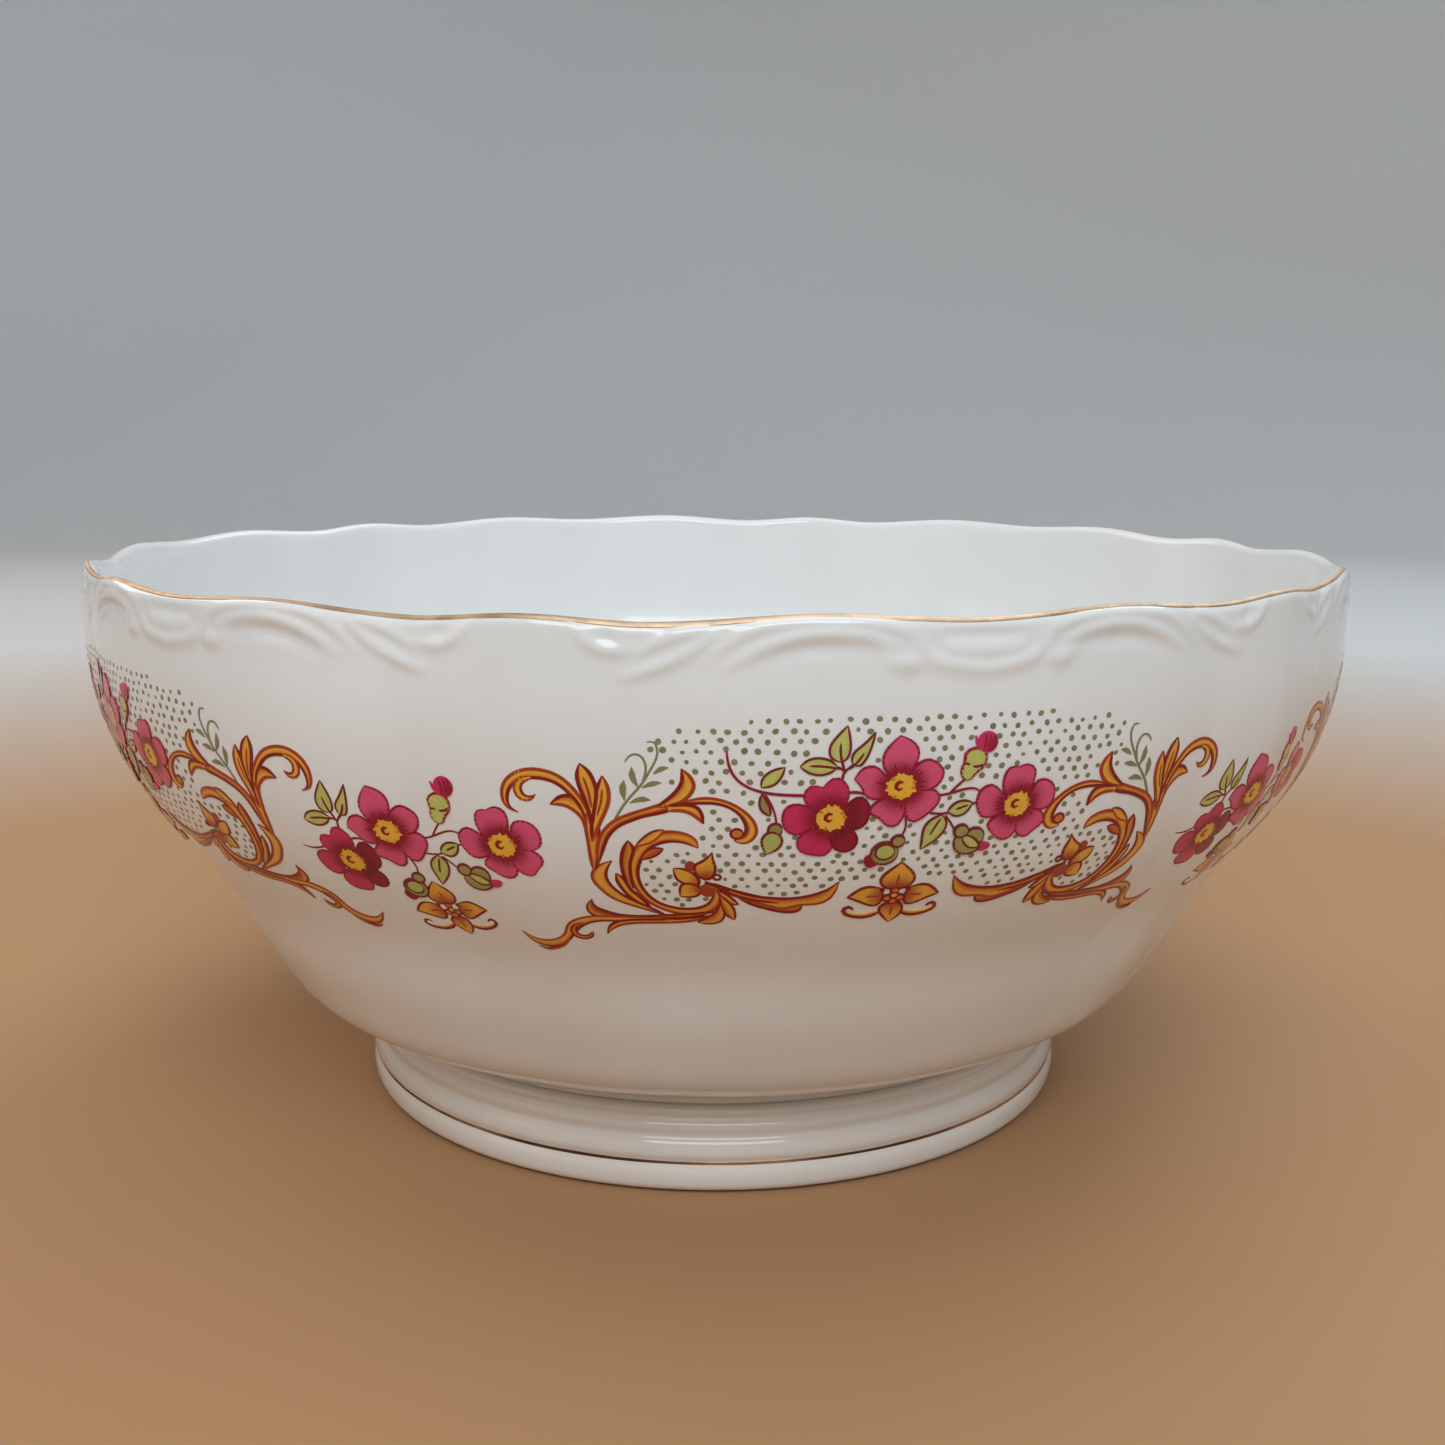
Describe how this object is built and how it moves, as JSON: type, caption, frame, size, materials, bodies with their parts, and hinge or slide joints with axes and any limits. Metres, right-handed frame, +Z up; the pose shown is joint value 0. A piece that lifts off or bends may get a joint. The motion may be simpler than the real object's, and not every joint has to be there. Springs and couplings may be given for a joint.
{
  "type": "serving bowl",
  "caption": "Round porcelain serving bowl with a scalloped, relief-moulded rim, a stepped foot, gilding and printed rose and scroll decoration.",
  "frame": {"origin": "centre of the foot's standing face, on the surface the bowl stands on", "axes": "+Z up along the bowl's axis; -Y is the side shown in the picture; +X to its right"},
  "size_m": [0.2549, 0.2539, 0.1121],
  "materials": {
    "glazed_porcelain": "clear gloss glaze over ivory-white porcelain",
    "foot_porcelain": "clear gloss glaze, standing face left bare",
    "gold": "burnished gold over glaze, satin",
    "gold_line": "painted gold line, worn",
    "cartouche_enamel": "fired enamel print: ochre scrolls, roses, leaves and a dotted ground",
    "rose_enamel": "fired enamel print: roses, leaves and a gold flower"
  },
  "bodies": {
    "root": {"bowl_body": "glazed_porcelain", "foot_ring": "foot_porcelain", "rim_gilding": "gold", "foot_gilding": "gold_line", "cartouche_decal_1": "cartouche_enamel", "rose_spray_decal_1": "rose_enamel", "cartouche_decal_2": "cartouche_enamel", "rose_spray_decal_2": "rose_enamel", "cartouche_decal_3": "cartouche_enamel", "rose_spray_decal_3": "rose_enamel", "cartouche_decal_4": "cartouche_enamel", "rose_spray_decal_4": "rose_enamel", "cartouche_decal_5": "cartouche_enamel", "rose_spray_decal_5": "rose_enamel"}
  },
  "joints": []
}
